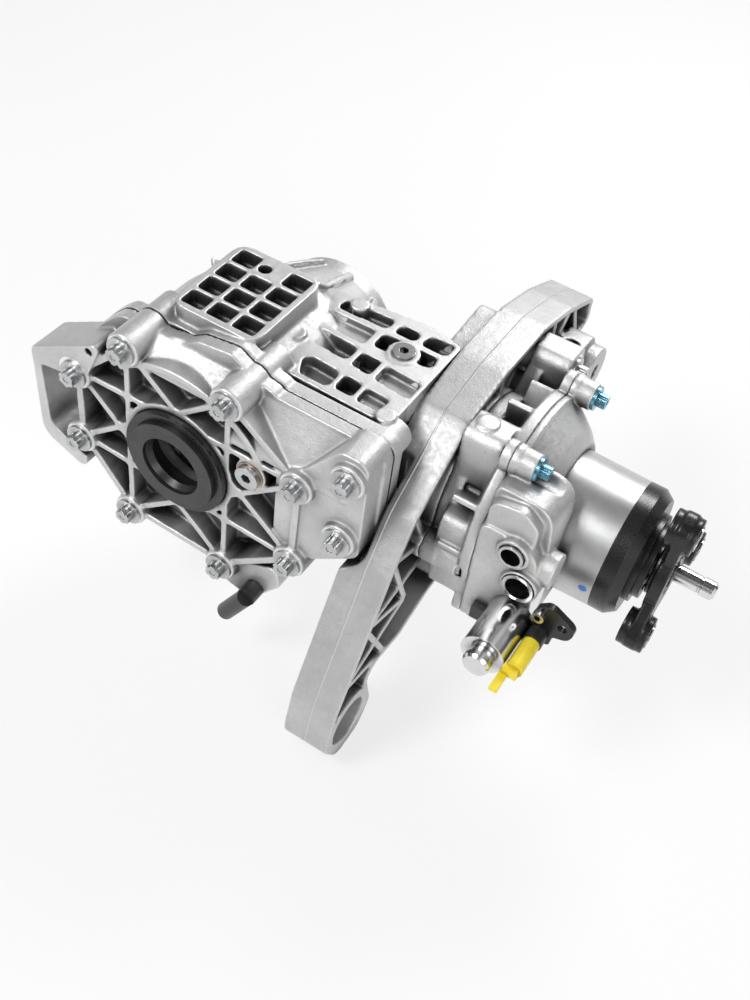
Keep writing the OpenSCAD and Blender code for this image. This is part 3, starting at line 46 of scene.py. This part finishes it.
class Tree:
    """The nodes of a material or a world, made by short calls."""

    def __init__(self, owner, coordinates="Object"):
        owner.use_nodes = True
        self.owner = owner
        self.nodes = owner.node_tree.nodes
        self.links = owner.node_tree.links
        self.place = self.nodes.new("ShaderNodeTexCoord").outputs[coordinates]

    def add(self, kind, **settings):
        """A new node with these properties; an input is named by its socket and set with inputs={}."""
        node = self.nodes.new("ShaderNode" + kind)
        for name, value in settings.pop("inputs", {}).items():
            self.put(node.inputs[name], value)
        for name, value in settings.items():
            setattr(node, name, value)
        return node

    def put(self, socket, value):
        """Links a node's output to the socket, or sets the socket's own value."""
        if isinstance(value, bpy.types.NodeSocket):
            self.links.new(value, socket)
        else:
            socket.default_value = value

    def noise(self, size, detail=3.0, rough=0.55, stretch=None):
        """Noise whose lumps are about size metres across."""
        place = self.place
        if stretch:
            mapping = self.add("Mapping", inputs={"Vector": place, "Scale": stretch})
            place = mapping.outputs["Vector"]
        node = self.add("TexNoise", inputs={"Vector": place, "Scale": 1 / size, "Detail": detail,
                                            "Roughness": rough})
        return node.outputs["Fac"]

    def span(self, value, low, high, to_low=0.0, to_high=1.0):
        """The value, from low..high to to_low..to_high, held at the ends."""
        node = self.add("MapRange", clamp=True)
        for name, item in zip(("Value", "From Min", "From Max", "To Min", "To Max"),
                              (value, low, high, to_low, to_high)):
            self.put(node.inputs[name], item)
        return node.outputs["Result"]

    def math(self, operation, a, b=0.0):
        """One step of arithmetic; a step such as ABSOLUTE leaves b out."""
        node = self.add("Math", operation=operation)
        self.put(node.inputs[0], a)
        self.put(node.inputs[1], b)
        return node.outputs[0]

    def vector(self, operation, a, b):
        """One step of vector arithmetic, with a number as the result of a distance or a dot product."""
        node = self.add("VectorMath", operation=operation)
        self.put(node.inputs[0], a)
        self.put(node.inputs[1], b)
        return node.outputs["Value" if operation in ("DISTANCE", "DOT_PRODUCT") else "Vector"]

    def mix(self, share, a, b):
        """Colour a where share is 0 and b where it is 1."""
        node = self.add("Mix", data_type="RGBA")
        self.put(node.inputs["Factor"], share)
        self.put(node.inputs["A"], a)
        self.put(node.inputs["B"], b)
        return node.outputs["Result"]

    def recess_shade(self, reach, low, high):
        """1 in recesses and inner corners and 0 on open surfaces: the mask for painted shade."""
        shade = self.add("AmbientOcclusion", samples=8, inputs={"Distance": reach})
        return self.span(shade.outputs["AO"], low, high, 1.0, 0.0)

    def bump(self, height, depth, under=None):
        """A normal raised by the height, on top of another normal where there is one."""
        node = self.add("Bump", inputs={"Height": height, "Distance": depth, "Strength": 1.0})
        if under:
            self.put(node.inputs["Normal"], under)
        return node.outputs["Normal"]

    def rounded_edges(self, radius):
        """A normal that rounds sharp edges off."""
        return self.add("Bevel", samples=4, inputs={"Radius": radius}).outputs["Normal"]

    def near(self, spots, axis, radius):
        """1 close to the lines that run along an axis through these spots, 0 elsewhere."""
        soft_edge = 0.3 * MM
        flat = self.vector("MULTIPLY", self.place, Vector((1.0, 1.0, 1.0)) - axis)
        nearest = None
        for spot in spots:
            away = self.vector("DISTANCE", flat, Vector(spot) - Vector(spot).dot(axis) * axis)
            nearest = self.math("MINIMUM", nearest, away) if nearest else away
        return self.span(nearest, radius - soft_edge, radius + soft_edge, 1.0, 0.0)

    def facing(self, axis):
        """1 on surfaces square to an axis, 0 elsewhere."""
        turned = self.vector("DOT_PRODUCT", self.add("NewGeometry").outputs["Normal"], axis)
        return self.span(self.math("ABSOLUTE", turned), 0.93, 0.98)


class Surface(Tree):
    """A new material, with the sockets of its shader."""

    def __init__(self, name):
        super().__init__(bpy.data.materials.new(name))
        self.shader = self.nodes["Principled BSDF"]

    def finish(self, **sockets):
        """Gives the shader's sockets their values and returns the material."""
        for name, value in sockets.items():
            self.put(self.shader.inputs[name.replace("_", " ")], value)
        return self.owner


def grey(level, warmth=0.0):
    """A grey as red, green, blue and alpha, a little warmer or colder."""
    return (level * (1 + warmth), level, level * (1 - warmth), 1.0)


def shaded(colour, share):
    """The colour made darker."""
    return tuple(share * part for part in colour[:3]) + (1.0,)


# Materials

WHITE = grey(1.0)
BRIGHTEST_METAL = 0.95
WORN_STEEL = grey(0.32)
POLISHED_STEEL = grey(0.78)
PAINT_BLUE = (0.05, 0.20, 0.62, 1.0)


def cast_metal(name, light, recess_shade_grey, grain, seats=(), parting=None):
    """Cast metal: grainy skin, flow stains, painted shade in recesses, edges made brighter partly by wear
    and partly as a painted highlight, and machined bolt seats.

    seats holds (spots, axis, radius) of the seats. parting is where along x the mould's halves met."""
    tree = Surface(name)
    stains = tree.span(tree.noise(35 * MM, detail=4), 0.35, 0.68)
    colour = tree.mix(stains, grey(light), grey(light * 0.86, 0.004))
    specks = tree.span(tree.noise(1.6 * MM, detail=2), 0.60, 0.74, 0.0, 0.35)
    colour = tree.mix(specks, colour, grey(light * 0.62))
    # Painted shade: recesses and inner corners turn to a near-black grey.
    colour = tree.mix(tree.recess_shade(22 * MM, 0.30, 0.95), colour, grey(recess_shade_grey, 0.01))
    # Sharp edges made brighter and smoother: partly wear, partly a painted highlight.
    edge = tree.add("NewGeometry").outputs["Pointiness"]
    wear_and_highlight = tree.span(edge, 0.515, 0.56, 0.0, 0.75)
    colour = tree.mix(wear_and_highlight, colour, grey(min(BRIGHTEST_METAL, light * 1.18)))
    rough = tree.span(tree.noise(4 * MM), 0.3, 0.7, 0.45, 0.62)
    rough = tree.math("SUBTRACT", rough, tree.math("MULTIPLY", wear_and_highlight, 0.14))
    skin = tree.bump(tree.noise(6 * MM, detail=2), 0.25 * MM)
    if parting is not None:
        along = tree.add("SeparateXYZ", inputs={"Vector": tree.place}).outputs["X"]
        away = tree.math("ABSOLUTE", tree.math("SUBTRACT", along, parting))
        ridge = tree.span(away, 0.2 * MM, 0.9 * MM, 1.0, 0.0)
        skin = tree.bump(ridge, 0.4 * MM, skin)
        ridge_grey = grey(min(BRIGHTEST_METAL, light * 1.25))
        colour = tree.mix(tree.math("MULTIPLY", ridge, 0.6), colour, ridge_grey)
    for spots, axis, radius in seats:
        cut = tree.math("MULTIPLY", tree.near(spots, axis, radius), tree.facing(axis))
        colour = tree.mix(cut, colour, grey(min(BRIGHTEST_METAL, light * 1.3)))
        rough = tree.math("SUBTRACT", rough, tree.math("MULTIPLY", cut, 0.16))
        grain = tree.math("MULTIPLY", tree.span(cut, 0.0, 1.0, 1.0, 0.15), grain)
    skin = tree.bump(tree.noise(1.1 * MM), grain, skin)
    return tree.finish(Base_Color=colour, Metallic=0.9, Roughness=rough, Normal=skin)


def turned_metal(name, level, rough_low, rough_high, stretch, paint_mark=None):
    """Machined metal: fine tool lines along one direction, oil film and rounded edges.

    paint_mark is the place of an inspector's blue dot."""
    tree = Surface(name)
    film = tree.span(tree.noise(18 * MM), 0.35, 0.65)
    colour = tree.mix(film, grey(level), grey(level * 0.88, -0.006))
    # Painted shade: recesses and inner corners made darker.
    colour = tree.mix(tree.recess_shade(6 * MM, 0.35, 0.95), colour, grey(level * 0.35))
    lines = tree.noise(4 * MM, stretch=stretch)
    rough = tree.span(lines, 0.3, 0.7, rough_low, rough_high)
    normal = tree.bump(lines, 0.03 * MM, tree.rounded_edges(0.4 * MM))
    if paint_mark is None:
        return tree.finish(Base_Color=colour, Metallic=1.0, Roughness=rough, Normal=normal)
    ragged = tree.math("MULTIPLY", tree.noise(2 * MM, detail=2), 1.5 * MM)
    away = tree.math("ADD", tree.vector("DISTANCE", tree.place, paint_mark), ragged)
    paint = tree.span(away, 3.6 * MM, 4.2 * MM, 1.0, 0.0)
    colour = tree.mix(paint, colour, PAINT_BLUE)
    metallic = tree.span(paint, 0.0, 1.0, 1.0, 0.0)
    return tree.finish(Base_Color=colour, Metallic=metallic, Roughness=rough, Normal=normal)


def coated_metal(name, colour, worn_colour, rough, wear):
    """Painted or plated steel, rubbed through to the metal on its edges.

    Returns the tree with the outputs for colour, rubbed share, roughness and normal."""
    tree = Surface(name)
    edge = tree.rounded_edges(0.5 * MM)
    cloud = tree.span(tree.noise(12 * MM, detail=4), 0.35, 0.65)
    base = tree.mix(cloud, colour, shaded(colour, 0.8))
    open_edge = tree.add("AmbientOcclusion", samples=8, inside=True, inputs={"Distance": 1.2 * MM})
    rubbed = tree.span(open_edge.outputs["AO"], 0.25, 0.75, 1.0, 0.0)
    patchy = tree.span(tree.noise(3 * MM), 0.42, 0.60, 0.0, wear)
    rubbed = tree.math("MULTIPLY", rubbed, patchy)
    base = tree.mix(rubbed, base, worn_colour)
    # Painted shade: recesses and inner corners made darker.
    base = tree.mix(tree.recess_shade(6 * MM, 0.3, 0.9), base, shaded(colour, 0.4))
    grains = tree.noise(0.9 * MM, detail=2)
    roughness = tree.span(grains, 0.3, 0.7, rough - 0.06, rough + 0.08)
    normal = tree.bump(grains, 0.04 * MM, edge)
    return tree, base, rubbed, roughness, normal


def black_metal(name, level, rough, wear):
    """Black coated steel, grey where it is rubbed."""
    tree, base, rubbed, roughness, normal = coated_metal(name, grey(level), WORN_STEEL, rough, wear)
    metallic = tree.span(rubbed, 0.0, 1.0, 0.15, 1.0)
    return tree.finish(Base_Color=base, Metallic=metallic, Roughness=roughness, Normal=normal)


def plated_metal(name, colour, rough):
    """Plated or soft metal, polished where it is rubbed."""
    tree, base, _, roughness, normal = coated_metal(name, colour, POLISHED_STEEL, rough, wear=0.8)
    return tree.finish(Base_Color=base, Metallic=1.0, Roughness=roughness, Normal=normal)


def moulded(name, colour, rough, grain):
    """Moulded plastic or rubber: fine grain, paler patches at random, painted shade in the corners and
    rounded edges.
    """
    tree = Surface(name)
    pale = tuple(min(1.0, 1.25 * part + 0.02) for part in colour[:3]) + (1.0,)
    cloud = tree.span(tree.noise(8 * MM), 0.35, 0.65, 0.0, 0.5)
    base = tree.mix(cloud, colour, pale)
    # Painted shade: recesses and inner corners made darker.
    base = tree.mix(tree.recess_shade(4 * MM, 0.3, 0.9), base, shaded(colour, 0.45))
    grains = tree.noise(0.7 * MM, detail=2)
    roughness = tree.span(grains, 0.3, 0.7, rough - 0.07, rough + 0.07)
    normal = tree.bump(grains, grain, tree.rounded_edges(0.4 * MM))
    return tree.finish(Base_Color=base, Roughness=roughness, Normal=normal)


def lining(name):
    """Wet friction paper: fibres and darker oil patches."""
    tree = Surface(name)
    paper, oiled = (0.30, 0.24, 0.17, 1.0), (0.16, 0.12, 0.08, 1.0)
    fibre = tree.noise(1.2 * MM, detail=4, stretch=(1.0, 4.0, 1.0))
    base = tree.mix(tree.span(fibre, 0.35, 0.65), paper, oiled)
    rough = tree.span(tree.noise(10 * MM, detail=2), 0.4, 0.6, 0.55, 0.8)
    return tree.finish(Base_Color=base, Roughness=rough, Normal=tree.bump(fibre, 0.1 * MM))


def middles(name, axis, across):
    """Where the equal pieces of a node stand: the middle of each, flattened along an axis."""
    groups = []
    for vertex in nodes[name].data.vertices:
        place = nodes[name].matrix_world @ vertex.co
        spot = place - place.dot(axis) * axis
        for group in groups:
            if (group[0] - spot).length < across:
                group.append(spot)
                break
        else:
            groups.append([spot])
    return [sum(group, Vector()) / len(group) for group in groups]


def bolt_seats(name, axis, flange, margin):
    """The round seats of a node's bolts, a margin wider than the flanges of their heads."""
    return middles(name, axis, flange + 1 * MM), axis, flange / 2 + margin


LARGE_FLANGE = 22 * MM
SMALL_FLANGE = 18 * MM
BOLT_SEATS = [
    bolt_seats("cover_bolts", ALONG_Y, LARGE_FLANGE, 2.5 * MM),
    bolt_seats("joint_bolts", ALONG_X, LARGE_FLANGE, 1.5 * MM),
    bolt_seats("clutch_bolts", ALONG_X, SMALL_FLANGE, 1.5 * MM),
]
BRACKET_THICKNESS = 37 * MM
BRACKET_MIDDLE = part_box("mounting_bracket")[0][0] + BRACKET_THICKNESS / 2
POT_PAINT_MARK = Vector((283.0, -47.8, -4.5)) * MM

# How much finer the tool lines are along x, y and z
LINES_ROUND_X = (40.0, 1.0, 1.0)
LINES_ROUND_PIN = (30.0, 1.0, 1.0)
LINES_ROUND_Y = (1.0, 30.0, 1.0)
LINES_OF_GEARS = (8.0, 8.0, 1.0)

LOOKS = {
    "cast_aluminium": cast_metal("cast_aluminium", light=0.72, recess_shade_grey=0.07, grain=0.24 * MM, seats=BOLT_SEATS),
    "bracket_aluminium": cast_metal("bracket_aluminium", light=0.62, recess_shade_grey=0.08, grain=0.22 * MM,
                                    parting=BRACKET_MIDDLE),
    "machined_aluminium": turned_metal("machined_aluminium", 0.58, 0.32, 0.46, LINES_ROUND_X,
                                       paint_mark=POT_PAINT_MARK),
    "zinc_plated_steel": plated_metal("zinc_plated_steel", grey(0.60, -0.01), rough=0.32),
    "blue_coated_steel": plated_metal("blue_coated_steel", (0.22, 0.50, 0.66, 1.0), rough=0.26),
    "bearing_steel": turned_metal("bearing_steel", 0.60, 0.12, 0.24, LINES_ROUND_Y),
    "gear_steel": turned_metal("gear_steel", 0.34, 0.24, 0.40, LINES_OF_GEARS),
    "case_iron": cast_metal("case_iron", light=0.24, recess_shade_grey=0.05, grain=0.12 * MM),
    "friction_lining": lining("friction_lining"),
    "black_steel": black_metal("black_steel", level=0.016, rough=0.27, wear=0.45),
    "seal_rubber": moulded("seal_rubber", grey(0.014), rough=0.34, grain=0.03 * MM),
    "seal_collar": black_metal("seal_collar", level=0.022, rough=0.24, wear=0.25),
    "gasket": moulded("gasket", grey(0.03), rough=0.55, grain=0.05 * MM),
    "copper": plated_metal("copper", (0.50, 0.36, 0.27, 1.0), rough=0.34),
    "black_plastic": moulded("black_plastic", grey(0.02), rough=0.36, grain=0.03 * MM),
    "yellow_plastic": moulded("yellow_plastic", (0.86, 0.66, 0.03, 1.0), rough=0.34, grain=0.02 * MM),
    "bright_steel": turned_metal("bright_steel", 0.78, 0.10, 0.20, LINES_ROUND_PIN),
}


def dress():
    """Gives each node the look of the material slot it carries."""
    for node in nodes.values():
        for slot in node.material_slots:
            slot.material = LOOKS[slot.material.name.split(".")[0]]


# Cast shapes: the sharp edges of the castings become soft, and their inner corners get fillets

# Size of the new skin's cells in millimetres, and how often it is smoothed
CASTINGS = {
    "main_housing": (1.0, 5),
    "side_cover": (0.9, 5),
    "mounting_bracket": (1.0, 7),
    "clutch_rear_housing": (0.9, 7),
    "clutch_front_housing": (0.9, 7),
    "input_flange": (0.8, 4),
}


def soften():
    """Gives each casting a smoothed skin."""
    for name, (cell, rounds) in CASTINGS.items():
        remesh = nodes[name].modifiers.new("cast skin", "REMESH")
        remesh.mode = "VOXEL"
        remesh.voxel_size = cell * MM * 1.0
        remesh.use_smooth_shade = True
        smooth = nodes[name].modifiers.new("soft edges", "SMOOTH")
        smooth.factor = 0.5
        smooth.iterations = rounds


# Floor, lights and camera

FLOOR_REACH = 30.0
FLOOR_GAP = 0.2 * MM
FLOOR_GLOW_SHARE = 0.72


def floor_material():
    """Pale floor that shows white to the camera but keeps the object's soft shadow."""
    tree = Surface("floor")
    tone = tree.mix(tree.span(tree.noise(0.5, detail=2), 0.3, 0.7), grey(0.86), grey(0.89))
    tree.finish(Base_Color=tone, Roughness=0.9)
    glow = tree.add("Emission", inputs={"Color": WHITE, "Strength": 1.0})
    rays = tree.add("LightPath")
    seen = tree.math("MAXIMUM", rays.outputs["Is Camera Ray"], rays.outputs["Is Glossy Ray"])
    seen = tree.math("MULTIPLY", seen, FLOOR_GLOW_SHARE)
    blend = tree.add("MixShader", inputs={"Fac": seen})
    tree.links.new(tree.shader.outputs[0], blend.inputs[1])
    tree.links.new(glow.outputs[0], blend.inputs[2])
    tree.links.new(blend.outputs[0], tree.nodes["Material Output"].inputs["Surface"])
    return tree.owner


def make_floor():
    """A wide floor just under the object."""
    mesh = bpy.data.meshes.new("floor")
    z = cad_box[0][2] - FLOOR_GAP
    corners = [(-FLOOR_REACH, -FLOOR_REACH, z), (FLOOR_REACH, -FLOOR_REACH, z),
               (FLOOR_REACH, FLOOR_REACH, z), (-FLOOR_REACH, FLOOR_REACH, z)]
    mesh.from_pydata(corners, [], [(0, 1, 2, 3)])
    mesh.materials.append(floor_material())
    floor = bpy.data.objects.new("floor", mesh)
    bpy.context.scene.collection.objects.link(floor)


def make_world():
    """Soft studio light, with brighter and darker panels in the reflections, and white to the camera."""
    world = bpy.data.worlds.new("studio")
    bpy.context.scene.world = world
    tree = Tree(world, coordinates="Generated")
    panels = tree.noise(1 / 1.7, detail=1.0, rough=0.5)
    ambient = tree.nodes["Background"]
    tree.put(ambient.inputs["Color"], WHITE)
    tree.put(ambient.inputs["Strength"], tree.span(panels, 0.42, 0.58, 0.06, 0.75))
    seen = tree.add("Background", inputs={"Color": WHITE, "Strength": 1.0})
    rays = tree.add("LightPath")
    share = tree.math("MAXIMUM", rays.outputs["Is Camera Ray"], rays.outputs["Is Transmission Ray"])
    blend = tree.add("MixShader", inputs={"Fac": share})
    tree.links.new(ambient.outputs[0], blend.inputs[1])
    tree.links.new(seen.outputs[0], blend.inputs[2])
    tree.links.new(blend.outputs[0], tree.nodes["World Output"].inputs["Surface"])


def area_lamp(name, place, target, size, watts):
    """A round soft lamp that points at the target."""
    light = bpy.data.lights.new(name, "AREA")
    light.shape = "DISK"
    light.size = size
    light.energy = watts
    lamp = bpy.data.objects.new(name, light)
    lamp.location = place
    lamp.rotation_mode = "QUATERNION"
    lamp.rotation_quaternion = (Vector(target) - Vector(place)).to_track_quat("-Z", "Y")
    bpy.context.scene.collection.objects.link(lamp)


def make_lights():
    """Key lamp over the side cover, a weaker one before the flange and one behind."""
    middle = [(low + high) / 2 for low, high in zip(*cad_box)]
    area_lamp("key", (-0.5, -1.0, 1.3), middle, size=0.6, watts=17.0)
    area_lamp("fill", (1.3, -0.9, 0.8), middle, size=0.8, watts=6.0)
    area_lamp("rim", (0.2, 1.2, 1.1), middle, size=0.6, watts=14.0)


# The photograph's camera: turn about the upright axis, height, roll and focal length in pixels
CAMERA_TURN = math.radians(25.64)
CAMERA_HEIGHT = math.radians(47.85)
CAMERA_ROLL = math.radians(8.61)
CAMERA_PLACE = Vector((372.2, -571.7, 616.0)) * MM
FOCAL_PIXELS = 1197.0
LONG_SIDE_PIXELS = 1000.0
SENSOR_WIDTH = 36.0


def make_camera():
    """The scene's camera, placed as the photograph's was."""
    data = bpy.data.cameras.new("camera")
    camera = bpy.data.objects.new("camera", data)
    bpy.context.scene.collection.objects.link(camera)
    bpy.context.scene.camera = camera
    turn, height, roll = CAMERA_TURN, CAMERA_HEIGHT, CAMERA_ROLL
    right = Vector((math.cos(turn), math.sin(turn), 0.0))
    back = Vector((math.sin(turn) * math.cos(height), -math.cos(turn) * math.cos(height), math.sin(height)))
    up = back.cross(right)
    across = math.cos(roll) * right + math.sin(roll) * up
    upward = math.cos(roll) * up - math.sin(roll) * right
    camera_axes = Matrix((across, upward, back)).transposed().to_4x4()
    camera.matrix_world = Matrix.Translation(CAMERA_PLACE) @ camera_axes
    data.sensor_width = SENSOR_WIDTH
    data.lens = FOCAL_PIXELS / LONG_SIDE_PIXELS * SENSOR_WIDTH
    data.clip_start = 0.01
    data.clip_end = 100.0


bpy.context.scene.view_settings.view_transform = "Standard"
make_camera()
make_world()
make_lights()
make_floor()
dress()
soften()
